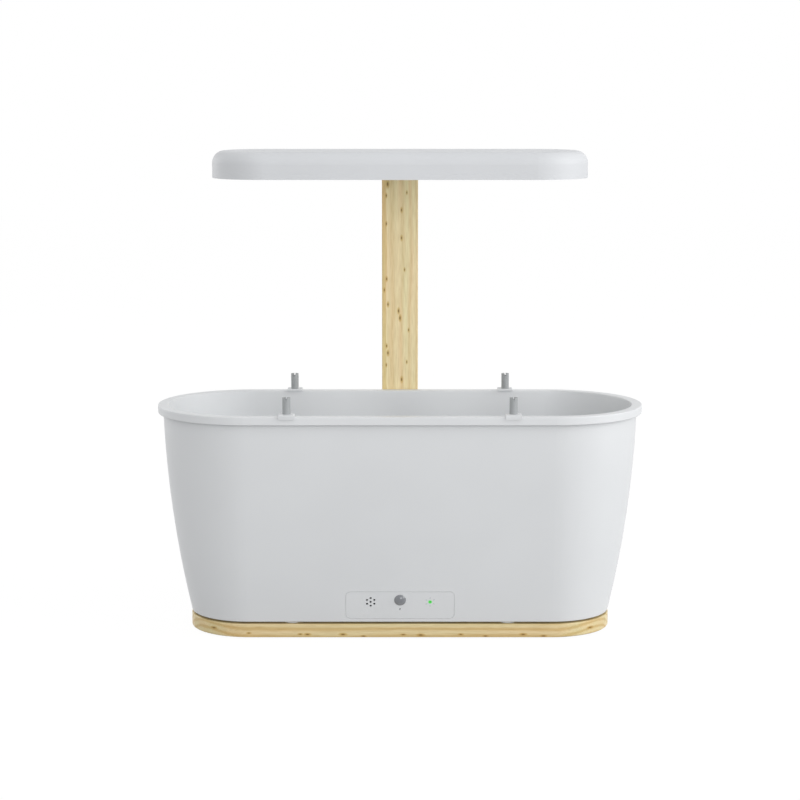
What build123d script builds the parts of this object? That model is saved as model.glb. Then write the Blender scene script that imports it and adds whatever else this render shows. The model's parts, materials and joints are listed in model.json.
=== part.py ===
"""Countertop hydroponic garden: an oval tub on a pine board, with a lamp on a pine post behind it.

Millimetres. X runs along the tub, -Y is the front, +Z is up. The origin is under the middle of the
board, on the plane that the rubber feet stand on.
"""

import os
from math import atan2, cos, radians, sin, sqrt, tan

from build123d import *

# ---- Feet, board and post ----
foot_radius = 8.0
small_foot_radius = 6.0
foot_standing_height = 1.5      # how far the feet hold the board off the table
foot_pocket_depth = 2.0
foot_pocket_gap = 0.1
foot_past_straight = 0.5        # from the end of the straight run to a corner foot
foot_y = 34.0
rear_foot_x = 22.0

straight_half = 149.5           # half of the straight run that the tub, lip and board share
board_margin = 0.4              # how far the board stands out past the tub's foot
board_thickness = 13.5
board_edge_round = 1.0
tongue_half_width = 32.0
tongue_corner = 12.0
tongue_behind_post = 6.5

post_width = 37.0
post_depth = 20.0
post_lip_gap = 1.0              # from the back of the rim to the front of the post
post_mortise_depth = 5.0
post_edge_round = 0.8
groove_width = 7.0
groove_depth = 7.0
cover_width = 12.0
cover_thickness = 2.0
cover_gap = 0.15
lead_slot_height = 24.0

# ---- Tub ----
pot_foot_height = 2.0
pot_foot_radius = 8.0
pot_foot_from_end = 43.5        # in from the ends of the straight run
pot_foot_from_edge = 11.6       # in from the tub's foot
shell_bottom_radius = 59.6
shell_top_radius = 85.5
shell_bulge = 5.1               # how far the wall bows out beyond its chord
shell_wall = 2.6
shell_floor = 3.0
shell_bottom_round = 1.2
nest_gap = 0.4                  # between the shell and the tub inside it
tub_wall = 2.4
lip_overhang = 5.0              # how far the lip stands out past the shell's top
lip_height = 8.1
lip_thickness = 2.4
lip_round = 1.0
pot_height = 208.6              # underside of the shell's floor to the top of the lip
bay_height = 40.0               # dry space under the tub's floor
ledge_width = 4.0
ledge_height = 4.0
back_pad_half_width = 18.0
back_pad_height = 20.0
back_pad_drop = 30.0            # top of the lip to the middle of the pad

# ---- Grow deck, cups and sponges ----
deck_drop = 32.0                # top of the lip to the top of the deck
deck_thickness = 3.0
deck_wall_gap = 2.0
cup_column = 110.0
cup_row = 36.0
cup_top_radius = 24.0
cup_bottom_radius = 17.0
cup_depth = 58.0
cup_wall = 1.6
cup_flange_radius = 27.0
cup_flange_thickness = 2.0
cup_hole_gap = 0.4
cup_slots = 6
cup_slot_width = 4.0
cup_slot_low = 8.0             # solid wall left at the cup's foot
cup_slot_high = 10.0            # and under its flange
sponge_gap = 0.4
sponge_below_deck = 2.0
seed_hole_radius = 3.0
seed_hole_depth = 12.0
finger_hole_x = 72.0
finger_hole_length = 32.0
finger_hole_width = 22.0

# ---- Filling lid and its frame ----
lid_from_end = 9.0              # from the deck's end to the lid's free edge
lid_length = 33.0
lid_half_width = 27.0
lid_thickness = 2.0
lid_hinge_offset = 3.2
lid_barrel_radius = 2.6
lid_pin_radius = 1.5
lid_pin_gap = 0.08
lid_barrel_half = 16.0
ear_thickness = 3.0
ear_gap = 0.4
fill_hole_length = 26.0
fill_hole_width = 44.0
fill_collar_wall = 2.0
fill_collar_depth = 14.0
frame_thickness = 1.6
frame_margin = 1.5
frame_gap = 0.15                # between the frame's collar and its hole in the deck
lid_corner = 5.0
finger_bar_length = 22.0
finger_bar_width = 4.0
finger_bar_height = 2.0
finger_bar_inset = 5.0         # from the lid's free edge to the bar's middle

# ---- Rim clips and support pegs ----
clip_from_end = 41.0            # in from the ends of the straight run
clip_width = 15.5
clip_top_width = 13.7
clip_plate = 2.0
clip_outer_thickness = 1.6
clip_outer_drop = 2.4
clip_past_peg = 0.8             # from the peg's side to the plate's inner edge
clip_gap = 0.3
clip_pin_radius = 1.0
clip_pin_length = 1.4
clip_pin_spread = 9.0           # between the middles of the two pins under a clip
clip_pin_gap = 0.1
peg_inset = 8.5                 # from the lip's outer face to the peg's middle
peg_radius = 3.9
peg_height = 15.8
peg_bore_radius = 2.1
peg_bore_depth = 14.0
crown_slot_width = 1.4
crown_slot_depth = 2.2
peg_spigot_radius = 2.5
peg_spigot_length = 1.6
peg_spigot_gap = 0.05

# ---- Control panel ----
panel_half_width = 53.0
panel_bottom = 21.0
panel_top = 48.9
panel_corner = 4.5
panel_thickness = 1.5
panel_gap = 0.2
panel_seat_gap = 0.05
panel_ledge = 1.8
grille_x = -28.7
light_x = 29.4
control_z = 38.4
grille_hole_radius = 1.1
grille_ring_radius = 4.1
grille_ring_holes = 6
dome_z = 40.2
dome_radius = 5.65
dome_rise = 2.6
dome_flange_radius = 6.4
dome_flange_thickness = 1.0
pinhole_z = 30.9
pinhole_radius = 0.8
light_radius = 1.8
light_length = 9.0
light_rise = 0.2
fitting_gap = 0.1

# ---- Electronics bay ----
pcb_half_width = 48.0
pcb_thickness = 1.6
pcb_y = -50.0                   # rear face of the upright board
pcb_height = 24.0
guide_height = 12.0
guide_width = 5.0
guide_wall = 2.0
guide_gap = 0.1
pcb_floor_gap = 2.5
buzzer_radius = 6.0
buzzer_length = 8.5
buzzer_port_radius = 1.2
buzzer_port_depth = 1.5
plug_half_width = 5.0
plug_depth = 6.0
plug_half_height = 3.5
plug_rise = 7.0                 # from the board's lower edge to the middle of its plugs
lamp_plug_x = 18.0
pump_plug_x = -18.0
inlet_plug_x = 38.0
chip_half_width = 6.0
chip_height = 12.0
chip_thickness = 1.4
relay_x = -35.0
relay_width = 10.0
relay_height = 10.0
relay_depth = 4.0
capacitor_x = 28.0
capacitor_radius = 4.0
capacitor_length = 9.0
parts_edge_gap = 2.0            # from the board's upper edge to its parts
sensor_radius = 4.2
sensor_length = 3.5
board_light_radius = 1.6
board_light_length = 1.4
inlet_x = 60.0
inlet_z = 33.0
inlet_flange_radius = 6.5
inlet_flange_thickness = 1.5
inlet_barrel_radius = 4.5
inlet_length = 12.0
inlet_bore_radius = 2.8
inlet_bore_depth = 9.5
inlet_pin_radius = 1.0
inlet_pin_depth = 1.0           # from the mouth to the pin's tip
duct_half_width = 8.0
duct_z = 31.0
duct_half_height = 7.0
duct_round = 1.5

# ---- Pump, riser and level float ----
motor_radius = 16.0
motor_height = 19.0
motor_round = 2.0
chamber_radius = 22.0
chamber_bore_radius = 17.0
chamber_height = 16.0
chamber_cover_thickness = 2.5
outlet_x = 30.0
outlet_half_width = 8.0
outlet_duct_radius = 3.0
outlet_duct_above_floor = 4.5
outlet_floor = 1.0
riser_radius = 5.0
riser_bore_radius = 3.5
riser_socket_depth = 8.0
riser_socket_gap = 0.05
riser_above_deck = 7.5
riser_deck_gap = 0.7
cap_radius = 6.5
cap_thickness = 3.0
cap_stem_length = 6.0
cap_stem_wall = 1.1
cap_round = 1.2
shaft_radius = 1.5
shaft_gap = 0.05
impeller_radius = 15.0
magnet_inset = 1.0
impeller_hub_radius = 3.6
impeller_magnet_height = 4.0
impeller_height = 11.0
impeller_floor_gap = 1.5
impeller_vanes = 6
vane_thickness = 1.4
strainer_slots = 8
strainer_slot_length = 10.0
strainer_slot_width = 2.4
strainer_ring_radius = 10.5
float_wall_gap = 4.87           # between the float and the tub's end at its floor
stem_radius = 3.0
stem_height = 102.0
stem_base_radius = 8.0
stem_base_height = 3.0
stem_head_radius = 5.0
stem_head_height = 3.0
float_radius = 13.0
float_bore_gap = 0.5
float_height = 20.0
float_floor_gap = 0.6
float_round = 2.0

# ---- Lamp ----
lamp_straight_half = 131.5
lamp_radius = 52.0
lamp_bottom = 448.6
lamp_height = 26.3
lamp_round = 12.0
lamp_wall = 2.5
diffuser_thickness = 2.0
diffuser_recess = 0.6
diffuser_gap = 0.4
diffuser_ledge = 2.0
diffuser_ledge_height = 4.0
led_board_radius = 40.0
led_board_thickness = 1.6
led_board_above_bottom = 9.4
spreader_thickness = 2.0
fin_height = 4.0
fin_thickness = 1.5
fin_pitch = 12.0
led_size = 5.0
led_height = 1.2
led_columns = 13
led_rows = 3
led_pitch_x = 23.0
led_pitch_y = 24.0
lamp_boss_radius = 4.0
lamp_boss_x = 112.0
lamp_boss_y = 18.0
terminal_half_width = 7.0
terminal_front = 22.0
terminal_back = 32.0
terminal_height = 5.5
fin_end_gap = 12.0              # from the fins' ends to the lamp's screws
arm_half_width = 21.5
arm_above_lamp_bottom = 3.4
arm_height = 18.0
arm_wall = 3.0
arm_reach_in = 10.0             # how far the arm goes past the lamp's rear face
arm_flange_half_width = 32.0
arm_window_gap = 0.3
arm_round = 2.0
socket_depth = 4.0
socket_gap = 0.2
channel_half_width = 8.0
back_plate_drop = 42.0

# ---- Screws and leads ----
big_screw_radius = 2.0
big_head_radius = 4.0
big_head_height = 2.6
small_screw_radius = 1.5
small_head_radius = 2.8
small_head_height = 1.8
screw_gap = 0.05
screw_end_gap = 1.0
head_sink = 0.6                 # how far the screw heads lie inside the board
recess_length = 1.3             # shares of the head's radius
recess_width = 0.25
recess_depth = 0.45             # share of the head's height
hole_gap = 0.3
pot_screw_length = 22.0
pot_screw_boss_radius = 5.0
pot_screw_boss_height = 10.0
post_screw_x = 10.0
post_screw_length = 38.0
pad_screw_x = 12.0
pad_screw_length = 24.0
arm_screw_length = 14.0
arm_screw_low = 8.0             # up from the lower end of the arm's back plate
arm_screw_spacing = 20.0
lamp_arm_screw_x = 27.0
lamp_arm_screw_z = 7.2          # up from the bottom of the arm
lamp_arm_screw_length = 7.0
lamp_screw_length = 8.0
lead_radius = 2.0
thin_lead_radius = 1.5
lead_hole_gap = 1.0
lead_largest_bend = 14.0
groove_bend = 7.0
plug_run = 24.0                 # how far a lead runs straight on from its plug
overcut = 1.0                   # how far a cut starts or ends outside what it cuts

# ---- Heights and depths that follow ----
board_bottom = foot_standing_height
board_top = board_bottom + board_thickness
board_radius = shell_bottom_radius + board_margin
lip_radius = shell_top_radius + lip_overhang
foot_x = straight_half + foot_past_straight
pot_foot_x = straight_half - pot_foot_from_end
pot_foot_y = shell_bottom_radius - pot_foot_from_edge
clip_x = straight_half - clip_from_end
peg_y = lip_radius - peg_inset
shell_bottom = board_top + pot_foot_height
shell_floor_top = shell_bottom + shell_floor
lip_top = shell_bottom + pot_height
lip_bottom = lip_top - lip_height
shell_top = lip_top - lip_thickness
tub_bottom = shell_floor_top + bay_height
tub_floor_top = tub_bottom + tub_wall
deck_top = lip_top - deck_drop
deck_bottom = deck_top - deck_thickness
post_front = lip_radius + post_lip_gap
post_back = post_front + post_depth
post_middle = (post_front + post_back) / 2
tongue_back = post_back + tongue_behind_post
lamp_top = lamp_bottom + lamp_height
arm_bottom = lamp_bottom + arm_above_lamp_bottom
arm_top = arm_bottom + arm_height
post_top = arm_bottom + socket_depth
back_plate_bottom = arm_bottom - back_plate_drop
arm_back = post_back + socket_gap + arm_wall
arm_front = lamp_radius - arm_reach_in
groove_front = post_back - cover_thickness - groove_depth
lead_y = groove_front + groove_depth / 2
led_board_bottom = lamp_bottom + led_board_above_bottom
led_board_top = led_board_bottom + led_board_thickness
spreader_top = led_board_top + spreader_thickness
pcb_bottom = shell_floor_top + pcb_floor_gap
pcb_front = pcb_y - pcb_thickness
chamber_top = tub_floor_top + chamber_height
riser_top = deck_top + riser_above_deck

# ---- The tub wall's bowed line ----
# The wall is an arc in section. Its offsets share one centre, so nested walls keep an even gap.
wall_chord = sqrt((shell_top_radius - shell_bottom_radius) ** 2 + (shell_top - shell_bottom) ** 2)
wall_arc_radius = (wall_chord**2 / 4 + shell_bulge**2) / (2 * shell_bulge)
wall_lean = atan2(shell_top_radius - shell_bottom_radius, shell_top - shell_bottom)
to_centre = wall_arc_radius - shell_bulge
wall_centre_r = (shell_bottom_radius + shell_top_radius) / 2 - to_centre * cos(wall_lean)
wall_centre_z = (shell_bottom + shell_top) / 2 + to_centre * sin(wall_lean)


def wall_radius(inset, z):
    """Radius of the tub wall's line at height z, inset from the shell's outer face."""
    return wall_centre_r + sqrt((wall_arc_radius - inset) ** 2 - (z - wall_centre_z) ** 2)


def wall_arc(inset, low, high):
    """The wall's line from one height to another, in a section of radius and height."""
    middle = (low + high) / 2
    return ThreePointArc(
        (wall_radius(inset, low), low),
        (wall_radius(inset, middle), middle),
        (wall_radius(inset, high), high),
    )


def front_plane(x, z):
    """A plane on the shell's front face, with its normal pointing out of it."""
    slope = atan2(wall_radius(0, z + 1) - wall_radius(0, z - 1), 2)
    return Plane(origin=(x, -wall_radius(0, z), z), x_dir=(1, 0, 0), z_dir=(0, -cos(slope), -sin(slope)))


def wall_section(outer_inset, inner_inset, bottom, floor_top, top):
    """Half section of a tub: a closed floor and one bowed wall."""
    with BuildLine() as outline:
        wall_arc(outer_inset, bottom, top)
        Line((wall_radius(outer_inset, top), top), (wall_radius(inner_inset, top), top))
        wall_arc(inner_inset, floor_top, top)
        Line((wall_radius(inner_inset, floor_top), floor_top), (0, floor_top))
        Line((0, floor_top), (0, bottom))
        Line((0, bottom), (wall_radius(outer_inset, bottom), bottom))
    make_face(outline.edges())


def round_corner(corner, radius):
    """Round the section's corner nearest to a point."""
    fillet(vertices().sort_by_distance((corner[0], corner[1], 0))[0], radius)


def carry_round(draw_section, half, mode=Mode.ADD):
    """Carry a half section round an oval: straight for half each way, then round both ends."""
    for side in (1, -1):
        with BuildSketch(Plane.YZ.offset(side * half)) as end_section:
            draw_section()
        revolve(end_section.sketch, Axis((side * half, 0, 0), (0, 0, 1)), -side * 180, mode=mode)
    with BuildSketch(Plane.YZ) as middle_section:
        draw_section()
        mirror(about=Plane.YZ)
    extrude(middle_section.sketch, amount=half, both=True, mode=mode)


def oval_plate(half, radius, bottom, thickness, mode=Mode.ADD):
    with BuildSketch(Plane.XY.offset(bottom)) as plate:
        SlotCenterToCenter(2 * half, 2 * radius)
    extrude(plate.sketch, amount=thickness, mode=mode)


def span(half):
    """Equal reaches to both sides of a middle plane."""
    return (-half, half)


def block(x, y, z, mode=Mode.ADD):
    """A box between two values on each axis."""
    with BuildSketch(Plane.XY.offset(z[0])) as base:
        with Locations(((x[0] + x[1]) / 2, (y[0] + y[1]) / 2)):
            Rectangle(x[1] - x[0], y[1] - y[0])
    extrude(base.sketch, amount=z[1] - z[0], mode=mode)


def rod(plane, radius, length, mode=Mode.ADD):
    """A round bar that starts on a plane and runs along its normal."""
    with BuildSketch(plane) as base:
        Circle(radius)
    extrude(base.sketch, amount=length, mode=mode)


def tapered_rod(plane, radius, end_radius, length, mode=Mode.ADD):
    with BuildSketch(plane) as base:
        Circle(radius)
    with BuildSketch(plane.offset(length)) as tip:
        Circle(end_radius)
    loft([base.sketch.face(), tip.sketch.face()], mode=mode)


def upright(x, y, z):
    return Plane(origin=(x, y, z), z_dir=(0, 0, 1))


def rearward(x, y, z):
    """A plane that looks towards the rear, +Y."""
    return Plane(origin=(x, y, z), x_dir=(-1, 0, 0), z_dir=(0, 1, 0))


def forward(x, y, z):
    """A plane that looks towards the front, -Y."""
    return Plane(origin=(x, y, z), x_dir=(1, 0, 0), z_dir=(0, -1, 0))


def screw(plane, shank_radius, head_radius, head_height, length):
    """A pan-head screw. The plane is under its head, and the shank runs along the plane's normal."""
    rod(plane, shank_radius, length)
    head_top = plane.offset(-head_height)
    rod(head_top, head_radius, head_height)
    for turn in (0, 90):
        with BuildSketch(head_top.rotated((0, 0, turn))) as recess:
            Rectangle(recess_length * head_radius, recess_width * head_radius)
        extrude(recess.sketch, amount=recess_depth * head_height, mode=Mode.SUBTRACT)


def big_screw(plane, length):
    screw(plane, big_screw_radius, big_head_radius, big_head_height, length)


def small_screw(plane, length):
    screw(plane, small_screw_radius, small_head_radius, small_head_height, length)


def save(part, label):
    part.label = label
    export_step(part, f"parts/{label}.step")


os.makedirs("parts", exist_ok=True)

pot_screw_spots = [(sx * pot_foot_x, sy * pot_foot_y) for sx in (-1, 1) for sy in (-1, 1)]
post_screw_spots = [(-post_screw_x, post_middle), (post_screw_x, post_middle)]
big_foot_spots = [(0, 0)] + [(sx * foot_x, sy * foot_y) for sx in (-1, 1) for sy in (-1, 1)]
small_foot_spots = [(-rear_foot_x, post_middle), (rear_foot_x, post_middle)]
cup_spots = [(column * cup_column, row * cup_row) for row in (-1, 1) for column in (-1, 0, 1)]
clip_spots = [(sx, sy) for sy in (-1, 1) for sx in (-1, 1)]
pad_z = lip_top - back_pad_drop
screw_head_sink = big_head_height + head_sink

# ---- Base board ----
with BuildPart() as base_board:
    with BuildSketch(Plane.XY.offset(board_bottom)):
        SlotCenterToCenter(2 * straight_half, 2 * board_radius)
        with Locations((0, tongue_back / 2)):
            Rectangle(2 * tongue_half_width, tongue_back)
        fillet(vertices().group_by(Axis.Y)[-1], tongue_corner)
    extrude(amount=board_thickness)
    outer_edges = edges().group_by(Axis.Z)[0] + edges().group_by(Axis.Z)[-1]
    fillet(outer_edges, board_edge_round)
    for spots, radius in ((big_foot_spots, foot_radius), (small_foot_spots, small_foot_radius)):
        for x, y in spots:
            rod(upright(x, y, board_bottom), radius + foot_pocket_gap, foot_pocket_depth, Mode.SUBTRACT)
    for x, y in pot_screw_spots + post_screw_spots:
        rod(upright(x, y, board_bottom), big_head_radius + hole_gap, screw_head_sink, Mode.SUBTRACT)
        rod(upright(x, y, board_bottom), big_screw_radius + hole_gap, board_thickness, Mode.SUBTRACT)
    block(
        span(post_width / 2 + socket_gap),
        (post_front - socket_gap, post_back + socket_gap),
        (board_top - post_mortise_depth, board_top),
        Mode.SUBTRACT,
    )
save(base_board.part, "base_board")

with BuildPart() as rubber_feet:
    for x, y in big_foot_spots:
        rod(upright(x, y, 0), foot_radius, foot_standing_height + foot_pocket_depth)
    for x, y in small_foot_spots:
        rod(upright(x, y, 0), small_foot_radius, foot_standing_height + foot_pocket_depth)
    fillet(edges().group_by(Axis.Z)[0], foot_standing_height / 3)
save(rubber_feet.part, "rubber_feet")

# ---- Post, its lead groove and the groove's cover ----
slot_low = duct_z - duct_half_height + arm_wall
cover_bottom = board_top + post_mortise_depth
cover_top = back_plate_bottom - cover_gap
post_foot = board_top - post_mortise_depth
with BuildPart() as post:
    with BuildSketch(Plane.XY.offset(post_foot)):
        with Locations((0, post_middle)):
            RectangleRounded(post_width, post_depth, post_edge_round)
    extrude(amount=post_top - post_foot)
    groove_x = span(groove_width / 2)
    block(groove_x, (groove_front, post_back), (slot_low, post_top), Mode.SUBTRACT)
    block(span(cover_width / 2), (post_back - cover_thickness, post_back),
          (cover_bottom, cover_top + cover_gap), Mode.SUBTRACT)
    block(groove_x, (post_front, post_back), (slot_low, slot_low + lead_slot_height), Mode.SUBTRACT)
    for x, y in post_screw_spots:
        rod(upright(x, y, post_foot), big_screw_radius + screw_gap, post_screw_length, Mode.SUBTRACT)
    for side in (-1, 1):
        pad_axis = forward(side * pad_screw_x, post_back, pad_z)
        rod(pad_axis, big_head_radius + hole_gap, big_head_height, Mode.SUBTRACT)
        rod(pad_axis, big_screw_radius + hole_gap, post_depth, Mode.SUBTRACT)
        for step in (0, 1):
            z = back_plate_bottom + arm_screw_low + step * arm_screw_spacing
            rod(forward(side * pad_screw_x, post_back, z), small_screw_radius + screw_gap,
                arm_screw_length, Mode.SUBTRACT)
save(post.part, "post")

with BuildPart() as cable_cover:
    block(
        span(cover_width / 2 - cover_gap),
        (post_back - cover_thickness + cover_gap, post_back),
        (cover_bottom + cover_gap, cover_top),
    )
save(cable_cover.part, "cable_cover")

under_heads = board_bottom + screw_head_sink
with BuildPart() as base_screws:
    for x, y in post_screw_spots:
        big_screw(upright(x, y, under_heads), post_foot - under_heads + post_screw_length - screw_end_gap)
    for x, y in pot_screw_spots:
        big_screw(upright(x, y, under_heads), pot_screw_length)
save(base_screws.part, "base_screws")

with BuildPart() as pad_screws:
    for side in (-1, 1):
        big_screw(forward(side * pad_screw_x, post_back - big_head_height, pad_z), pad_screw_length)
save(pad_screws.part, "pad_screws")


# ---- Outer shell ----
def shell_section():
    wall_section(0, shell_wall, shell_bottom, shell_floor_top, shell_top)
    round_corner((shell_bottom_radius, shell_bottom), shell_bottom_round)


def panel_outline(grow):
    """The control panel's outline, seen from the front."""
    with Locations((0, (panel_bottom + panel_top) / 2)):
        height = panel_top - panel_bottom + 2 * grow
        RectangleRounded(2 * (panel_half_width + grow), height, panel_corner + grow)


def wall_strip(outer_inset, inner_inset, half_width, low, high, mode=Mode.ADD):
    """A straight stretch of the front wall between two insets."""
    with BuildSketch(Plane.YZ) as strip:
        with BuildLine() as outline:
            wall_arc(outer_inset, low, high)
            Line((wall_radius(outer_inset, high), high), (wall_radius(inner_inset, high), high))
            wall_arc(inner_inset, low, high)
            Line((wall_radius(inner_inset, low), low), (wall_radius(outer_inset, low), low))
        make_face(outline.edges())
        mirror(about=Plane.YZ, mode=Mode.REPLACE)
    extrude(strip.sketch, amount=half_width, both=True, mode=mode)


def back_block(clearance, half_width, low, high, back, mode=Mode.ADD):
    """A block between the shell's rear wall and a flat plane behind it."""
    with BuildSketch(Plane.YZ) as side_view:
        with BuildLine() as outline:
            wall_arc(-clearance, low, high)
            Line((wall_radius(-clearance, high), high), (back, high))
            Line((back, high), (back, low))
            Line((back, low), (wall_radius(-clearance, low), low))
        make_face(outline.edges())
    extrude(side_view.sketch, amount=half_width, both=True, mode=mode)


pocket_floor = panel_thickness + panel_seat_gap
with BuildPart() as panel_pocket:
    wall_strip(-overcut, pocket_floor, panel_half_width + panel_gap, panel_bottom - panel_gap,
               panel_top + panel_gap)
    with BuildSketch(Plane.XZ) as pocket_outline:
        panel_outline(panel_gap)
    extrude(pocket_outline.sketch, amount=2 * shell_top_radius, mode=Mode.INTERSECT)

with BuildPart() as outer_shell:
    carry_round(shell_section, straight_half)
    back_block(-shell_wall / 2, back_pad_half_width, pad_z - back_pad_height / 2,
               pad_z + back_pad_height / 2, post_front)
    for x, y in pot_screw_spots:
        rod(upright(x, y, board_top), pot_foot_radius, pot_foot_height)
        rod(upright(x, y, shell_floor_top), pot_screw_boss_radius, pot_screw_boss_height)
        rod(upright(x, y, board_top), big_screw_radius + screw_gap,
            shell_floor_top + pot_screw_boss_height - board_top, Mode.SUBTRACT)
    for side in (-1, 1):
        guide_outer = pcb_half_width + guide_wall
        guide_x = sorted((side * guide_outer, side * (guide_outer - guide_width)))
        slot_x = sorted((side * (pcb_half_width + guide_gap), side * (pcb_half_width - guide_width)))
        block(guide_x, (pcb_front - guide_wall, pcb_y + guide_wall),
              (shell_floor_top, pcb_bottom + guide_height))
        block(slot_x, (pcb_front - guide_gap, pcb_y + guide_gap),
              (pcb_bottom, pcb_bottom + guide_height), Mode.SUBTRACT)
        rod(rearward(side * pad_screw_x, wall_radius(shell_wall, pad_z) + shell_wall / 2, pad_z),
            big_screw_radius + screw_gap, post_depth, Mode.SUBTRACT)
    add(panel_pocket.part, mode=Mode.SUBTRACT)
    with BuildSketch(Plane.XZ.offset(wall_radius(0, panel_bottom) - 2 * shell_wall)) as window:
        panel_outline(-panel_ledge)
    extrude(window.sketch, amount=2 * shell_top_radius, mode=Mode.SUBTRACT)
    rod(rearward(inlet_x, wall_radius(shell_wall, inlet_z) - shell_wall, inlet_z),
        inlet_barrel_radius + fitting_gap, 3 * shell_wall, Mode.SUBTRACT)
    rod(rearward(0, wall_radius(shell_wall, duct_z) - shell_wall, duct_z),
        lead_radius + lead_hole_gap, 3 * shell_wall, Mode.SUBTRACT)
save(outer_shell.part, "outer_shell")

# ---- Control panel and what shows in it ----
with BuildPart() as control_panel:
    wall_strip(0, panel_thickness, panel_half_width, panel_bottom, panel_top)
    with BuildSketch(Plane.XZ) as panel_face:
        panel_outline(0)
    extrude(panel_face.sketch, amount=2 * shell_top_radius, mode=Mode.INTERSECT)
    with BuildSketch(front_plane(grille_x, control_z)) as grille_holes:
        Circle(grille_hole_radius)
        with PolarLocations(grille_ring_radius, grille_ring_holes, 90):
            Circle(grille_hole_radius)
    extrude(grille_holes.sketch, amount=2 * panel_thickness, both=True, mode=Mode.SUBTRACT)
    for hole_x, hole_z, hole_radius in (
        (0, dome_z, dome_radius + fitting_gap),
        (0, pinhole_z, pinhole_radius),
        (light_x, control_z, light_radius + fitting_gap),
    ):
        hole_plane = front_plane(hole_x, hole_z).offset(-2 * panel_thickness)
        rod(hole_plane, hole_radius, 4 * panel_thickness, Mode.SUBTRACT)
save(control_panel.part, "control_panel")

dome_plane = front_plane(0, dome_z)
dome_sphere_radius = (dome_radius**2 + dome_rise**2) / (2 * dome_rise)
dome_seat = dome_plane.offset(-panel_thickness - panel_seat_gap)
with BuildPart() as sensor_dome:
    rod(dome_seat, dome_radius, panel_thickness + dome_rise)
    with Locations(dome_plane.offset(dome_rise - dome_sphere_radius)):
        Sphere(dome_sphere_radius, mode=Mode.INTERSECT)
    rod(dome_seat.offset(-dome_flange_thickness), dome_flange_radius, dome_flange_thickness)
save(sensor_dome.part, "sensor_dome")

with BuildPart() as status_lens:
    rod(front_plane(light_x, control_z).offset(light_rise - light_length), light_radius, light_length)
save(status_lens.part, "status_lens")

# ---- Control board ----
pcb_top = pcb_bottom + pcb_height
with BuildPart() as control_board:
    block(span(pcb_half_width), (pcb_front, pcb_y), (pcb_bottom, pcb_top))
save(control_board.part, "control_board")

plug_z = pcb_bottom + plug_rise
parts_top = pcb_top - parts_edge_gap
with BuildPart() as board_parts:
    for plug_x in (lamp_plug_x, pump_plug_x, inlet_plug_x):
        block((plug_x - plug_half_width, plug_x + plug_half_width), (pcb_y, pcb_y + plug_depth),
              (plug_z - plug_half_height, plug_z + plug_half_height))
    block(span(chip_half_width), (pcb_y, pcb_y + chip_thickness), (parts_top - chip_height, parts_top))
    block((relay_x - relay_width / 2, relay_x + relay_width / 2), (pcb_y, pcb_y + relay_depth),
          (parts_top - relay_height, parts_top))
    rod(rearward(capacitor_x, pcb_y, parts_top - capacitor_radius), capacitor_radius, capacitor_length)
    rod(forward(0, pcb_front, dome_z), sensor_radius, sensor_length)
    rod(forward(light_x, pcb_front, control_z), board_light_radius, board_light_length)
save(board_parts.part, "board_parts")

with BuildPart() as buzzer:
    rod(forward(grille_x, pcb_front, control_z), buzzer_radius, buzzer_length)
    rod(forward(grille_x, pcb_front - buzzer_length + buzzer_port_depth, control_z), buzzer_port_radius,
        buzzer_port_depth, Mode.SUBTRACT)
save(buzzer.part, "buzzer")

# ---- Power inlet and the duct for the lamp's lead ----
inlet_mouth = wall_radius(0, inlet_z + inlet_flange_radius) + inlet_flange_thickness
with BuildPart() as dc_inlet:
    rod(forward(inlet_x, inlet_mouth, inlet_z), inlet_barrel_radius, inlet_length)
    rod(forward(inlet_x, inlet_mouth, inlet_z), inlet_flange_radius, inlet_flange_thickness)
    rod(forward(inlet_x, inlet_mouth, inlet_z), inlet_bore_radius, inlet_bore_depth, Mode.SUBTRACT)
    rod(forward(inlet_x, inlet_mouth - inlet_pin_depth, inlet_z), inlet_pin_radius, inlet_bore_depth)
save(dc_inlet.part, "dc_inlet")

with BuildPart() as cable_duct:
    back_block(fitting_gap, duct_half_width, duct_z - duct_half_height, duct_z + duct_half_height,
               post_front)
    fillet(edges().filter_by(Axis.X).group_by(Axis.Y)[-1], duct_round)
    rod(forward(0, post_front, duct_z), lead_radius + lead_hole_gap, lip_radius, Mode.SUBTRACT)
save(cable_duct.part, "cable_duct")


# ---- Inner tub ----
tub_outer_inset = shell_wall + nest_gap
tub_inner_inset = tub_outer_inset + tub_wall


def tub_section():
    wall_section(tub_outer_inset, tub_inner_inset, tub_bottom, tub_floor_top, lip_top)
    skirt_inner = lip_radius - lip_thickness
    lip_start = wall_radius(tub_inner_inset, lip_top) + tub_wall / 2
    Polygon(
        (lip_start, lip_top), (lip_radius, lip_top), (lip_radius, lip_bottom), (skirt_inner, lip_bottom),
        (skirt_inner, shell_top), (lip_start, shell_top), align=None,
    )
    ledge_radius = wall_radius(tub_inner_inset, deck_bottom)
    Polygon(
        (ledge_radius + tub_wall / 2, deck_bottom), (ledge_radius - ledge_width, deck_bottom),
        (ledge_radius - ledge_width, deck_bottom - ledge_height / 2),
        (ledge_radius + tub_wall / 2, deck_bottom - 2 * ledge_height), align=None,
    )
    round_corner((lip_radius, lip_top), lip_round)
    round_corner((lip_radius, lip_bottom), lip_round)
    round_corner((wall_radius(tub_inner_inset, lip_top), lip_top), lip_round)


clip_pin_y = (lip_radius + wall_radius(tub_inner_inset, lip_top)) / 2
with BuildPart() as inner_tub:
    carry_round(tub_section, straight_half)
    for sx, sy in clip_spots:
        for step in (-1, 1):
            pin_x = sx * clip_x + step * clip_pin_spread / 2
            rod(upright(pin_x, sy * clip_pin_y, lip_top - clip_pin_length - clip_pin_gap),
                clip_pin_radius + clip_pin_gap, clip_pin_length + clip_pin_gap, Mode.SUBTRACT)
save(inner_tub.part, "inner_tub")

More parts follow.
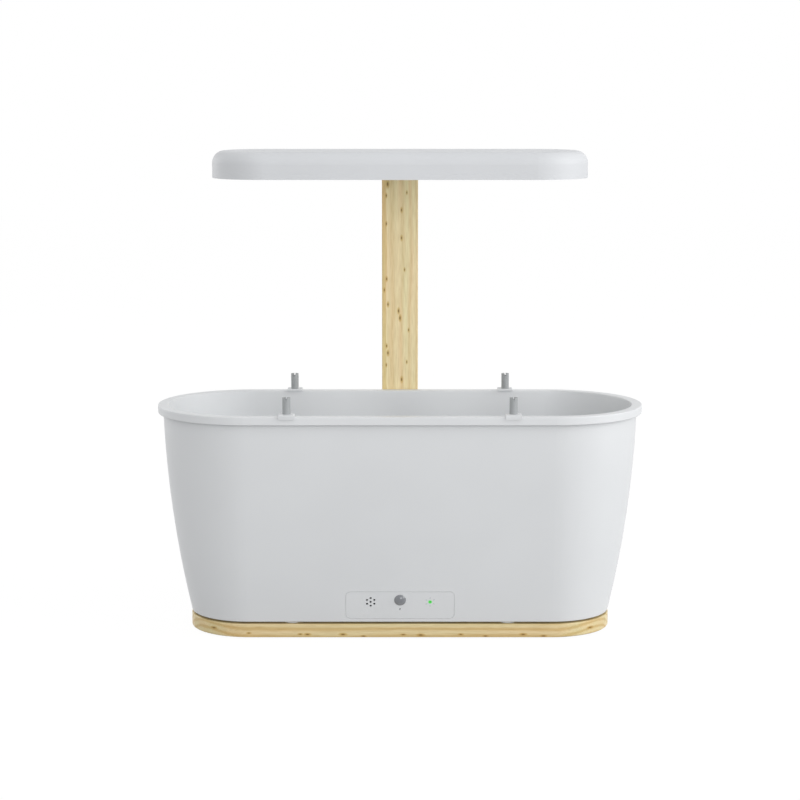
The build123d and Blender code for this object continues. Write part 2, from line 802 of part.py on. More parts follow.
# ---- Grow deck ----
deck_radius = wall_radius(tub_inner_inset + deck_wall_gap, deck_bottom)
lid_bottom = deck_top + frame_thickness
hinge_z = lid_bottom + lid_barrel_radius + ear_gap
lid_far_x = straight_half + deck_radius - lid_from_end
lid_hinge_x = lid_far_x - lid_length - lid_hinge_offset
fill_middle_x = lid_hinge_x + lid_hinge_offset + lid_length / 2
ear_half = lid_barrel_half + ear_gap + ear_thickness
with BuildPart() as grow_deck:
    oval_plate(straight_half, deck_radius, deck_bottom, deck_thickness)
    frame_hole_half = fill_hole_length / 2 + fill_collar_wall + frame_gap
    block((fill_middle_x - frame_hole_half, fill_middle_x + frame_hole_half),
          span(fill_hole_width / 2 + fill_collar_wall + frame_gap), (deck_bottom, deck_top), Mode.SUBTRACT)
    for x, y in cup_spots:
        rod(upright(x, y, deck_bottom), cup_top_radius + cup_hole_gap, deck_thickness, Mode.SUBTRACT)
    rod(upright(outlet_x, 0, deck_bottom), cap_radius + riser_deck_gap, deck_thickness, Mode.SUBTRACT)
    with BuildSketch(Plane.XY.offset(deck_bottom)) as finger_holes:
        with Locations((-finger_hole_x, 0), (finger_hole_x, 0)):
            SlotOverall(finger_hole_length, finger_hole_width)
    extrude(finger_holes.sketch, amount=deck_thickness, mode=Mode.SUBTRACT)
save(grow_deck.part, "grow_deck")

with BuildPart() as lid_frame:
    block((lid_hinge_x - lid_barrel_radius - frame_margin, lid_far_x + frame_margin),
          span(lid_half_width + frame_margin), (deck_top, lid_bottom))
    fillet(edges().filter_by(Axis.Z), lid_corner)
    block((fill_middle_x - fill_hole_length / 2 - fill_collar_wall,
           fill_middle_x + fill_hole_length / 2 + fill_collar_wall),
          span(fill_hole_width / 2 + fill_collar_wall), (deck_top - fill_collar_depth, deck_top))
    block((fill_middle_x - fill_hole_length / 2, fill_middle_x + fill_hole_length / 2),
          span(fill_hole_width / 2), (deck_top - fill_collar_depth, lid_bottom), Mode.SUBTRACT)
    for side in (-1, 1):
        ear_y = sorted((side * (lid_barrel_half + ear_gap), side * ear_half))
        block((lid_hinge_x - lid_barrel_radius, lid_hinge_x + lid_barrel_radius), ear_y,
              (lid_bottom, hinge_z))
        rod(rearward(lid_hinge_x, ear_y[0], hinge_z), lid_barrel_radius, ear_thickness)
    rod(rearward(lid_hinge_x, -ear_half, hinge_z), lid_pin_radius + lid_pin_gap, 2 * ear_half,
        Mode.SUBTRACT)
save(lid_frame.part, "lid_frame")

lid_top = lid_bottom + lid_thickness
with BuildPart() as fill_lid:
    block((lid_hinge_x + lid_hinge_offset, lid_far_x), span(lid_half_width), (lid_bottom, lid_top))
    fillet(edges().filter_by(Axis.Z).group_by(Axis.X)[-1], lid_corner)
    block((lid_hinge_x, lid_hinge_x + lid_hinge_offset + overcut), span(lid_barrel_half),
          (lid_bottom + ear_gap, lid_top))
    rod(rearward(lid_hinge_x, -lid_barrel_half, hinge_z), lid_barrel_radius, 2 * lid_barrel_half)
    rod(rearward(lid_hinge_x, -ear_half, hinge_z), lid_pin_radius, 2 * ear_half)
    with BuildSketch(Plane.XY.offset(lid_top)) as finger_bar:
        with Locations((lid_far_x - finger_bar_inset, 0)):
            SlotOverall(finger_bar_length, finger_bar_width, rotation=90)
    extrude(finger_bar.sketch, amount=finger_bar_height)
save(fill_lid.part, "fill_lid")

# ---- Net cups and sponges ----
cup_bottom = deck_top - cup_depth


def cup_radius_at(z):
    share = (z - cup_bottom) / cup_depth
    return cup_bottom_radius + (cup_top_radius - cup_bottom_radius) * share


sponge_top = deck_top - sponge_below_deck
sponge_bottom = cup_bottom + cup_wall
for number, (x, y) in enumerate(cup_spots, start=1):
    with BuildPart() as net_cup:
        tapered_rod(upright(x, y, cup_bottom), cup_bottom_radius, cup_top_radius, cup_depth)
        rod(upright(x, y, deck_top), cup_flange_radius, cup_flange_thickness)
        tapered_rod(upright(x, y, sponge_bottom), cup_radius_at(sponge_bottom) - cup_wall,
                    cup_top_radius - cup_wall, deck_top - sponge_bottom, Mode.SUBTRACT)
        rod(upright(x, y, deck_top), cup_top_radius - cup_wall, cup_flange_thickness, Mode.SUBTRACT)
        with BuildSketch(Plane.XY.offset(cup_bottom + cup_slot_low)) as side_slots:
            with Locations((x, y)):
                with PolarLocations(cup_top_radius, cup_slots, 180 / cup_slots):
                    Rectangle(cup_top_radius, cup_slot_width)
        extrude(side_slots.sketch, amount=cup_depth - cup_slot_low - cup_slot_high, mode=Mode.SUBTRACT)
        with BuildSketch(Plane.XY.offset(cup_bottom)) as floor_holes:
            with Locations((x, y)):
                with PolarLocations(cup_bottom_radius / 2, cup_slots):
                    Circle(cup_slot_width / 2)
        extrude(floor_holes.sketch, amount=cup_wall, mode=Mode.SUBTRACT)
    save(net_cup.part, f"net_cup_{number}")

    with BuildPart() as sponge:
        tapered_rod(upright(x, y, sponge_bottom), cup_radius_at(sponge_bottom) - cup_wall - sponge_gap,
                    cup_radius_at(sponge_top) - cup_wall - sponge_gap, sponge_top - sponge_bottom)
        rod(upright(x, y, sponge_top - seed_hole_depth), seed_hole_radius, seed_hole_depth, Mode.SUBTRACT)
    save(sponge.part, f"sponge_{number}")

# ---- Pump, riser tube and drip cap ----
with BuildPart() as pump_motor:
    rod(upright(0, 0, tub_bottom - motor_height), motor_radius, motor_height)
    fillet(edges().group_by(Axis.Z)[0], motor_round)
save(pump_motor.part, "pump_motor")

with BuildPart() as pump_chamber:
    rod(upright(0, 0, tub_floor_top), chamber_radius, chamber_height)
    block((0, outlet_x + outlet_half_width), span(outlet_half_width), (tub_floor_top, chamber_top))
    rod(upright(0, 0, tub_floor_top), chamber_bore_radius, chamber_height, Mode.SUBTRACT)
    rod(Plane.YZ.shift_origin((0, 0, tub_floor_top + outlet_duct_above_floor)),
        outlet_duct_radius, outlet_x, Mode.SUBTRACT)
    rod(upright(outlet_x, 0, tub_floor_top + outlet_floor), riser_bore_radius, chamber_height,
        Mode.SUBTRACT)
    rod(upright(outlet_x, 0, chamber_top - riser_socket_depth), riser_radius + riser_socket_gap,
        riser_socket_depth, Mode.SUBTRACT)
save(pump_chamber.part, "pump_chamber")

with BuildPart() as pump_cover:
    rod(upright(0, 0, chamber_top), chamber_radius, chamber_cover_thickness)
    with BuildSketch(Plane.XY.offset(chamber_top)) as strainer:
        with PolarLocations(strainer_ring_radius, strainer_slots):
            SlotOverall(strainer_slot_length, strainer_slot_width)
    extrude(strainer.sketch, amount=chamber_cover_thickness, mode=Mode.SUBTRACT)
save(pump_cover.part, "pump_cover")

with BuildPart() as pump_shaft:
    rod(upright(0, 0, tub_floor_top), shaft_radius, chamber_height)
save(pump_shaft.part, "pump_shaft")

impeller_bottom = tub_floor_top + impeller_floor_gap
with BuildPart() as pump_impeller:
    rod(upright(0, 0, impeller_bottom), impeller_radius - magnet_inset, impeller_magnet_height)
    rod(upright(0, 0, impeller_bottom), impeller_hub_radius, impeller_height)
    with BuildSketch(Plane.XY.offset(impeller_bottom + impeller_magnet_height)) as vanes:
        with PolarLocations((impeller_radius + impeller_hub_radius - magnet_inset) / 2, impeller_vanes):
            Rectangle(impeller_radius - impeller_hub_radius + magnet_inset, vane_thickness)
    extrude(vanes.sketch, amount=impeller_height - impeller_magnet_height)
    rod(upright(0, 0, impeller_bottom), shaft_radius + shaft_gap, impeller_height, Mode.SUBTRACT)
save(pump_impeller.part, "pump_impeller")

with BuildPart() as riser_tube:
    riser_foot = chamber_top - riser_socket_depth
    rod(upright(outlet_x, 0, riser_foot), riser_radius, riser_top - riser_foot)
    rod(upright(outlet_x, 0, riser_foot), riser_bore_radius, riser_top - riser_foot, Mode.SUBTRACT)
save(riser_tube.part, "riser_tube")

with BuildPart() as drip_cap:
    rod(upright(outlet_x, 0, riser_top), cap_radius, cap_thickness)
    fillet(edges().group_by(Axis.Z)[-1], cap_round)
    cap_stem_foot = upright(outlet_x, 0, riser_top - cap_stem_length)
    rod(cap_stem_foot, riser_bore_radius - fitting_gap, cap_stem_length)
    rod(cap_stem_foot, riser_bore_radius - fitting_gap - cap_stem_wall, cap_stem_length, Mode.SUBTRACT)
save(drip_cap.part, "drip_cap")

# ---- Water level float ----
stem_x = float_wall_gap + float_radius - straight_half - wall_radius(tub_inner_inset, tub_floor_top)
with BuildPart() as float_stem:
    rod(upright(stem_x, 0, tub_floor_top), stem_base_radius, stem_base_height)
    rod(upright(stem_x, 0, tub_floor_top), stem_radius, stem_height)
    rod(upright(stem_x, 0, tub_floor_top + stem_height), stem_head_radius, stem_head_height)
save(float_stem.part, "float_stem")

with BuildPart() as level_float:
    float_bottom = tub_floor_top + stem_base_height + float_floor_gap
    rod(upright(stem_x, 0, float_bottom), float_radius, float_height)
    fillet(edges(), float_round)
    rod(upright(stem_x, 0, float_bottom), stem_radius + float_bore_gap, float_height, Mode.SUBTRACT)
save(level_float.part, "level_float")

# ---- Rim clips and support pegs ----
clip_top = lip_top + clip_plate
clip_outer = lip_radius + clip_gap + clip_outer_thickness
clip_inner = peg_y - peg_radius - clip_past_peg
for number, (sx, sy) in enumerate(clip_spots, start=1):
    peg_spot = upright(sx * clip_x, sy * peg_y, clip_top)
    spigot_end = peg_spot.offset(-peg_spigot_length)
    with BuildPart() as rim_clip:
        with BuildSketch(Plane.YZ.offset(sx * clip_x)) as hook:
            Polygon(
                (clip_inner, clip_top), (clip_outer, clip_top), (clip_outer, lip_top - clip_outer_drop),
                (lip_radius + clip_gap, lip_top - clip_outer_drop), (lip_radius + clip_gap, lip_top),
                (clip_inner, lip_top), align=None,
            )
            if sy < 0:
                mirror(about=Plane.YZ, mode=Mode.REPLACE)
        extrude(hook.sketch, amount=clip_width / 2, both=True)
        chamfer(faces().sort_by(Axis.Z)[-1].edges(), (clip_width - clip_top_width) / 2)
        rod(spigot_end, peg_spigot_radius + peg_spigot_gap, peg_spigot_length, Mode.SUBTRACT)
        for step in (-1, 1):
            pin_x = sx * clip_x + step * clip_pin_spread / 2
            rod(upright(pin_x, sy * clip_pin_y, lip_top - clip_pin_length), clip_pin_radius,
                clip_pin_length + clip_plate / 2)
    save(rim_clip.part, f"rim_clip_{number}")

    with BuildPart() as support_peg:
        rod(peg_spot, peg_radius, peg_height)
        rod(spigot_end, peg_spigot_radius, peg_spigot_length)
        rod(peg_spot.offset(peg_height - peg_bore_depth), peg_bore_radius, peg_bore_depth, Mode.SUBTRACT)
        with BuildSketch(peg_spot.offset(peg_height - crown_slot_depth)) as crown_slots:
            Rectangle(3 * peg_radius, crown_slot_width)
            Rectangle(crown_slot_width, 3 * peg_radius)
        extrude(crown_slots.sketch, amount=crown_slot_depth, mode=Mode.SUBTRACT)
    save(support_peg.part, f"support_peg_{number}")

# ---- Lamp housing, diffuser, LED board and heat spreader ----
lamp_inner = lamp_radius - lamp_wall
diffuser_bottom = lamp_bottom + diffuser_recess
ledge_bottom = diffuser_bottom + diffuser_thickness + diffuser_gap / 2


def lamp_section():
    with BuildLine() as outline:
        Polyline(
            (lamp_inner, lamp_bottom), (lamp_radius, lamp_bottom), (lamp_radius, lamp_top), (0, lamp_top),
            (0, lamp_top - lamp_wall), (lamp_inner, lamp_top - lamp_wall), (lamp_inner, lamp_bottom),
        )
    make_face(outline.edges())
    round_corner((lamp_radius, lamp_top), lamp_round)
    round_corner((lamp_inner, lamp_top - lamp_wall), lamp_round - lamp_wall)
    Polygon(
        (lamp_inner + lamp_wall / 2, ledge_bottom), (lamp_inner - diffuser_ledge, ledge_bottom),
        (lamp_inner - diffuser_ledge, ledge_bottom + diffuser_ledge_height / 4),
        (lamp_inner + lamp_wall / 2, ledge_bottom + diffuser_ledge_height), align=None,
    )


lamp_boss_spots = [(sx * lamp_boss_x, sy * lamp_boss_y) for sx in (-1, 1) for sy in (-1, 1)]
arm_screw_z = arm_bottom + lamp_arm_screw_z
with BuildPart() as lamp_housing:
    carry_round(lamp_section, lamp_straight_half)
    for x, y in lamp_boss_spots:
        rod(upright(x, y, spreader_top), lamp_boss_radius, lamp_top - lamp_wall / 2 - spreader_top)
        rod(upright(x, y, spreader_top), small_screw_radius + screw_gap, lamp_screw_length, Mode.SUBTRACT)
    block(span(arm_half_width + arm_window_gap), (arm_front, lamp_radius + overcut),
          (arm_bottom - arm_window_gap, arm_top + arm_window_gap), Mode.SUBTRACT)
    for side in (-1, 1):
        rod(forward(side * lamp_arm_screw_x, lamp_radius + overcut, arm_screw_z),
            small_screw_radius + hole_gap, lamp_wall + 2 * overcut, Mode.SUBTRACT)
save(lamp_housing.part, "lamp_housing")

with BuildPart() as lamp_diffuser:
    oval_plate(lamp_straight_half, lamp_inner - diffuser_gap, diffuser_bottom, diffuser_thickness)
save(lamp_diffuser.part, "lamp_diffuser")

with BuildPart() as led_board:
    oval_plate(lamp_straight_half, led_board_radius, led_board_bottom, led_board_thickness)
    for x, y in lamp_boss_spots:
        rod(upright(x, y, led_board_bottom), small_screw_radius + hole_gap, led_board_thickness,
            Mode.SUBTRACT)
save(led_board.part, "led_board")

with BuildPart() as leds:
    with BuildSketch(Plane.XY.offset(led_board_bottom - led_height)):
        with GridLocations(led_pitch_x, led_pitch_y, led_columns, led_rows):
            Rectangle(led_size, led_size)
    extrude(amount=led_height)
save(leds.part, "leds")

with BuildPart() as heat_spreader:
    oval_plate(lamp_straight_half, led_board_radius, led_board_top, spreader_thickness)
    with BuildSketch(Plane.XY.offset(spreader_top)):
        with GridLocations(0, fin_pitch, 1, 2):
            Rectangle(2 * (lamp_boss_x - fin_end_gap), fin_thickness)
    extrude(amount=fin_height)
    for x, y in lamp_boss_spots:
        rod(upright(x, y, led_board_top), small_screw_radius + hole_gap, spreader_thickness, Mode.SUBTRACT)
save(heat_spreader.part, "heat_spreader")

with BuildPart() as lamp_screws:
    for x, y in lamp_boss_spots:
        small_screw(upright(x, y, led_board_bottom), lamp_screw_length)
save(lamp_screws.part, "lamp_screws")

with BuildPart() as lamp_terminal:
    block(span(terminal_half_width), (terminal_front, terminal_back),
          (spreader_top, spreader_top + terminal_height))
save(lamp_terminal.part, "lamp_terminal")

# ---- Arm from the post to the lamp ----
channel_top = arm_top - arm_wall
with BuildPart() as lamp_arm:
    block(span(arm_half_width), (arm_front, arm_back), (arm_bottom, arm_top))
    block(span(post_width / 2), (post_back + socket_gap, arm_back), (back_plate_bottom, arm_bottom))
    fillet(edges().filter_by(Axis.Z).group_by(Axis.Y)[-1], arm_round)
    block(span(arm_flange_half_width), (arm_front, lamp_inner - socket_gap),
          (ledge_bottom + diffuser_ledge_height + socket_gap, lamp_top - lamp_round))
    block(span(post_width / 2 + socket_gap),
          (post_front - socket_gap, post_back + socket_gap), (arm_bottom, post_top), Mode.SUBTRACT)
    block(span(channel_half_width), (arm_front, post_back), (post_top, channel_top), Mode.SUBTRACT)
    for side in (-1, 1):
        rod(forward(side * lamp_arm_screw_x, lamp_inner, arm_screw_z), small_screw_radius + screw_gap,
            lamp_arm_screw_length, Mode.SUBTRACT)
        for step in (0, 1):
            z = back_plate_bottom + arm_screw_low + step * arm_screw_spacing
            rod(forward(side * pad_screw_x, arm_back, z), small_screw_radius + hole_gap, arm_wall,
                Mode.SUBTRACT)
save(lamp_arm.part, "lamp_arm")

with BuildPart() as arm_screws:
    for side in (-1, 1):
        small_screw(forward(side * lamp_arm_screw_x, lamp_radius, arm_screw_z), lamp_arm_screw_length)
        for step in (0, 1):
            z = back_plate_bottom + arm_screw_low + step * arm_screw_spacing
            small_screw(forward(side * pad_screw_x, arm_back, z), arm_screw_length)
save(arm_screws.part, "arm_screws")


# ---- Leads ----
def bend_radii(points, limits):
    """A bend at each corner of a route: as large as its two runs allow, up to the limit given for it."""
    corners = [Vector(*point) for point in points]
    radii = []
    for before, corner, after, limit in zip(corners, corners[1:], corners[2:], limits):
        half_turn = radians((corner - before).get_angle(after - corner)) / 2
        shorter_run = min((corner - before).length, (after - corner).length)
        radii.append(min(limit, 0.45 * shorter_run / tan(half_turn)))
    return radii


def lead(points, limits, radius):
    """A round lead along straight runs and tangent arcs."""
    radii = bend_radii(points, limits)
    print("lead bends", [round(bend, 1) for bend in radii])
    with BuildLine() as route:
        FilletPolyline(*points, radius=radii)
    with BuildSketch(Plane(origin=route.line @ 0, z_dir=route.line % 0)) as end_face:
        Circle(radius)
    sweep(end_face.sketch, path=route.line)


plug_y = pcb_y + plug_depth
inside_rear = wall_radius(shell_wall, duct_z)
terminal_z = spreader_top + terminal_height / 2
motor_z = tub_bottom - motor_height / 2
inlet_back = inlet_mouth - inlet_length
with BuildPart() as lamp_lead:
    lead(
        [(lamp_plug_x, plug_y, plug_z), (lamp_plug_x, plug_y + plug_run, plug_z),
         (0, inside_rear - plug_run, duct_z), (0, lead_y, duct_z), (0, lead_y, terminal_z),
         (0, terminal_back, terminal_z)],
        [lead_largest_bend, lead_largest_bend, groove_bend, groove_bend], lead_radius,
    )
save(lamp_lead.part, "lamp_lead")

with BuildPart() as pump_lead:
    lead(
        [(pump_plug_x, plug_y, plug_z), (pump_plug_x, plug_y + plug_run / 2, plug_z),
         (0, -motor_radius - plug_run / 3, motor_z), (0, -motor_radius, motor_z)],
        [lead_largest_bend, lead_largest_bend], thin_lead_radius,
    )
save(pump_lead.part, "pump_lead")

with BuildPart() as inlet_lead:
    lead(
        [(inlet_plug_x, plug_y, plug_z), (inlet_plug_x, plug_y + plug_run, plug_z),
         (inlet_x, inlet_back - plug_run, inlet_z), (inlet_x, inlet_back, inlet_z)],
        [lead_largest_bend, lead_largest_bend], thin_lead_radius,
    )
save(inlet_lead.part, "inlet_lead")
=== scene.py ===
import json
import math

import bmesh
import bpy
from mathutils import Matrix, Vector, noise


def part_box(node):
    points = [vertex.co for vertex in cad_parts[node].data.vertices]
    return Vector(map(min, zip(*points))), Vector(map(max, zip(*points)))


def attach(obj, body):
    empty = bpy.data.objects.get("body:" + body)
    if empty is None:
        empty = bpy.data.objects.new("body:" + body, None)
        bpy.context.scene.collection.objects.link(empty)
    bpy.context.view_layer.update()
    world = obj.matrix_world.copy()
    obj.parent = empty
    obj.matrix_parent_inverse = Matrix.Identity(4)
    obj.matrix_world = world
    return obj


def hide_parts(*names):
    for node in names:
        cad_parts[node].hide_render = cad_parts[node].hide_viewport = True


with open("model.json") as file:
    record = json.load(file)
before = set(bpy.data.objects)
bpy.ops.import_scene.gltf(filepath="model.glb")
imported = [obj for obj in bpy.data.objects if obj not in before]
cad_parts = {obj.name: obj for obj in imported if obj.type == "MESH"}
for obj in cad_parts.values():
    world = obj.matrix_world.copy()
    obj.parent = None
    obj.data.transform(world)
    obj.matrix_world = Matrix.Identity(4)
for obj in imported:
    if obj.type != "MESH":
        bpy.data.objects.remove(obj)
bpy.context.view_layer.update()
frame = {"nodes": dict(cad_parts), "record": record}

mm = 0.001
scene = bpy.context.scene
nodes = frame["nodes"]
slotOf = {part["node"]: part["material_slot"] for part in frame["record"]["subparts"]}


def say(text):
    print("garden:", text)


# Camera, at the eye height of someone seated and looking slightly down

camera = {
    "distance": 2.05,       # metres in front of the tub's centre
    "height": 0.5469,
    "tilt": 8.835,          # degrees below level
    "lens": 93.9,
    "sensor": 36.0,
}


def placeCamera(values):
    data = bpy.data.cameras.new("camera")
    data.lens = values["lens"]
    data.sensor_width = values["sensor"]
    eye = bpy.data.objects.new("camera", data)
    eye.location = (0, -values["distance"], values["height"])
    eye.rotation_euler = (math.radians(90 - values["tilt"]), 0, 0)
    scene.collection.objects.link(eye)
    scene.camera = eye


placeCamera(camera)
say("camera placed")


# Colours and shader nodes

waveTurn = 2 * math.pi / 20     # a wave texture's scale for one band in each unit of length


def linear(hexColour):
    channels = [int(hexColour[i:i + 2], 16) / 255 for i in (1, 3, 5)]
    return [c / 12.92 if c <= 0.04045 else ((c + 0.055) / 1.055) ** 2.4 for c in channels] + [1.0]


def perMetre(pitch):
    # a texture scale, in features per metre, from a feature's size in millimetres
    return 1 / (pitch * mm)


def addNode(tree, kind, links=None, stops=(), to=None, **settings):
    # settings: in_2 and Title_Case name a socket, lower case the node's own value; stops fill a
    # colour ramp; links bring in sockets or other nodes' first outputs; to takes the first output on
    node = tree.nodes.new("ShaderNode" + kind)
    for name, value in settings.items():
        if name.startswith("in_"):
            node.inputs[int(name[3:])].default_value = value
        elif name[0].isupper():
            node.inputs[name.replace("_", " ")].default_value = value
        else:
            setattr(node, name, value)
    for number, (position, colour) in enumerate(stops):
        band = node.color_ramp.elements
        stop = band[number] if number < 2 else band.new(position)
        stop.position = position
        stop.color = linear(colour)
    for socket, source in (links or {}).items():
        output = source if isinstance(source, bpy.types.NodeSocket) else source.outputs[0]
        tree.links.new(output, node.inputs[socket])
    if to:
        tree.links.new(node.outputs[0], to)
    return node


def newMaterial(name, **surface):
    # one Principled surface whose even values sit on its own sockets
    material = bpy.data.materials.new(name)
    material.use_nodes = True
    tree = material.node_tree
    shader = tree.nodes["Principled BSDF"]
    for socket, value in surface.items():
        shader.inputs[socket.replace("_", " ")].default_value = value
    place = addNode(tree, "TexCoord").outputs["Object"]
    return material, tree, shader.inputs, place


# Moulded plastics

def mouldedAbs(name, values):
    # ABS from a spark-eroded mould: satin, with a fine even grain and a very slow drift in tone
    material, tree, surface, place = newMaterial(name, Roughness=values["roughness"], IOR=1.53)
    drift = addNode(tree, "TexNoise", {"Vector": place}, Scale=perMetre(values["drift"]), Detail=2.0)
    addNode(tree, "ValToRGB", {"Fac": drift}, [(0.3, values["shade"]), (0.7, values["colour"])],
            surface["Base Color"])
    grain = addNode(tree, "TexNoise", {"Vector": place}, Scale=perMetre(values["grain"]), Detail=3.0)
    addNode(tree, "Bump", {"Height": grain}, to=surface["Normal"], Distance=values["depth"] * mm)
    return material


# here and below, a pattern's size and its depth are in millimetres
absTub = {
    "colour": "#DFE1E3", "shade": "#DBDDDF", "roughness": 0.42, "drift": 120, "grain": 0.7, "depth": 0.012,
}
# painted shade: the lamp's white is set a little darker than the tub's to take off the extra light the
# lamp gets from the key
absLamp = {
    "colour": "#D6D8DB", "shade": "#D2D4D7", "roughness": 0.5, "drift": 90, "grain": 0.7, "depth": 0.012,
}
absDeck = {
    "colour": "#DADCDD", "shade": "#D4D6D7", "roughness": 0.5, "drift": 60, "grain": 0.9, "depth": 0.02,
}
absClip = {
    "colour": "#DBDDDF", "shade": "#D5D7D9", "roughness": 0.42, "drift": 10, "grain": 0.6, "depth": 0.01,
}


def glassFilledNylon(name, values):
    # Nylon with short glass fibre: matt, with a faint mottle where the fibre comes to the skin
    material, tree, surface, place = newMaterial(name, Roughness=values["roughness"], IOR=1.52)
    mottle = addNode(tree, "TexNoise", {"Vector": place}, Scale=perMetre(values["mottle"]), Detail=6.0)
    addNode(tree, "ValToRGB", {"Fac": mottle}, [(0.35, values["shade"]), (0.7, values["colour"])],
            surface["Base Color"])
    pits = addNode(tree, "TexVoronoi", {"Vector": place}, Scale=perMetre(values["pit"]))
    addNode(tree, "Bump", {"Height": pits}, to=surface["Normal"], Distance=values["depth"] * mm)
    return material


nylonBlack = {
    "colour": "#2A2B2D", "shade": "#1F2022", "roughness": 0.55, "mottle": 4, "pit": 0.8, "depth": 0.03,
}
cupBlack = {
    "colour": "#303234", "shade": "#242628", "roughness": 0.48, "mottle": 6, "pit": 0.9, "depth": 0.02,
}
rotorBlue = {
    "colour": "#3E66A0", "shade": "#355A90", "roughness": 0.35, "mottle": 5, "pit": 1.0, "depth": 0.01,
}


def acetalGrey(name, values):
    # Acetal rod, turned: waxy grey with fine rings round its axis
    material, tree, surface, place = newMaterial(name, Roughness=values["roughness"], IOR=1.48)
    rings = addNode(tree, "TexWave", {"Vector": place}, wave_type="BANDS", bands_direction="Z",
                    Scale=waveTurn * perMetre(values["rings"]), Distortion=0.4)
    addNode(tree, "ValToRGB", {"Fac": rings}, [(0.0, values["shade"]), (1.0, values["colour"])],
            surface["Base Color"])
    addNode(tree, "Bump", {"Height": rings}, to=surface["Normal"], Distance=values["depth"] * mm)
    return material


pegGrey = {"colour": "#A6A9AA", "shade": "#9EA1A3", "roughness": 0.38, "rings": 0.6, "depth": 0.008}


# Pine, planed and clear-lacquered: pale early wood between thin darker late wood, with small knots

knotCore = 0.35                 # the share of a knot's reach that is fully dark


def knotMarks(tree, place, knots, halfSize):
    # the darkest of the soft lenses that sit at the knots; halfSize is one knot's along X, Y and Z
    total = None
    for x, y, z, size in knots:
        offset = addNode(tree, "VectorMath", {0: place}, operation="SUBTRACT",
                         in_1=(x * mm, y * mm, z * mm))
        scaled = addNode(tree, "VectorMath", {0: offset}, operation="MULTIPLY",
                         in_1=[1 / (half * size * mm) for half in halfSize])
        reach = addNode(tree, "VectorMath", {0: scaled}, operation="LENGTH")
        mark = addNode(tree, "MapRange", {0: reach.outputs["Value"]}, interpolation_type="SMOOTHSTEP",
                       in_1=knotCore, in_2=1.0, in_3=1.0, in_4=0.0)
        total = addNode(tree, "Math", {0: total, 1: mark}, operation="MAXIMUM") if total else mark
    return total


def lacqueredPine(name, values):
    material, tree, surface, place = newMaterial(name, Roughness=values["roughness"], IOR=1.5,
                                                 Coat_Weight=values["lacquer"],
                                                 Coat_Roughness=values["lacquerRoughness"])
    stretch = [values["stretch"] if axis == values["along"] else 1.0 for axis in "XYZ"]
    wander = addNode(tree, "TexNoise", {"Vector": place}, Scale=perMetre(values["wander"]), Detail=2.0)
    flow = addNode(tree, "VectorMath", {0: wander.outputs["Color"]}, operation="SCALE",
                   Scale=values["sway"] * mm)
    moved = addNode(tree, "VectorMath", {0: place, 1: flow}, operation="ADD")
    grain = addNode(tree, "Mapping", {"Vector": moved}, Scale=stretch,
                    Location=[c * mm for c in values["pith"]])
    rings = addNode(tree, "TexWave", {"Vector": grain}, wave_type="RINGS", rings_direction=values["along"],
                    Scale=waveTurn * perMetre(values["ring"]), Distortion=values["waver"], Detail=3.0,
                    Detail_Scale=1.2)
    wood = addNode(tree, "ValToRGB", {"Fac": rings.outputs["Fac"]},
                   [(0.0, values["early"]), (0.55, values["middle"]), (0.9, values["late"])])
    fibre = addNode(tree, "TexNoise", {"Vector": grain}, Scale=perMetre(values["fibre"]), Detail=5.0)
    fibreTone = addNode(tree, "ValToRGB", {"Fac": fibre}, [(0.3, values["fibreShade"]), (0.62, "#FFFFFF")])
    patches = addNode(tree, "TexNoise", {"Vector": grain}, Scale=perMetre(values["patch"]), Detail=1.0)
    patchTone = addNode(tree, "ValToRGB", {"Fac": patches}, [(0.3, values["warm"]), (0.7, values["cool"])])
    colour = wood.outputs["Color"]
    for tone in (fibreTone, patchTone):
        mixed = addNode(tree, "Mix", {6: colour, 7: tone}, data_type="RGBA", blend_type="MULTIPLY",
                        in_0=1.0)
        colour = mixed.outputs[2]
    parts = addNode(tree, "SeparateXYZ", {"Vector": moved})
    for edge, soft, tint in values["staves"]:
        side = addNode(tree, "MapRange", {0: parts.outputs[values["across"]]},
                       interpolation_type="SMOOTHSTEP", in_1=edge * mm, in_2=(edge - soft) * mm)
        mixed = addNode(tree, "Mix", {0: side, 6: colour}, data_type="RGBA", blend_type="MULTIPLY",
                        in_7=linear(tint))
        colour = mixed.outputs[2]
    haloSize = [values["haloReach"] * half for half in values["knotSize"]]
    halos = knotMarks(tree, place, values["knots"], haloSize)
    mixed = addNode(tree, "Mix", {0: halos, 6: colour}, data_type="RGBA", blend_type="MULTIPLY",
                    in_7=linear(values["halo"]))
    marks = knotMarks(tree, place, values["knots"], values["knotSize"])
    mixed = addNode(tree, "Mix", {0: marks, 6: mixed.outputs[2]}, data_type="RGBA",
                    in_7=linear(values["knot"]))
    tree.links.new(mixed.outputs[2], surface["Base Color"])
    addNode(tree, "Bump", {"Height": fibre}, to=surface["Normal"], Distance=values["depth"] * mm)
    return material


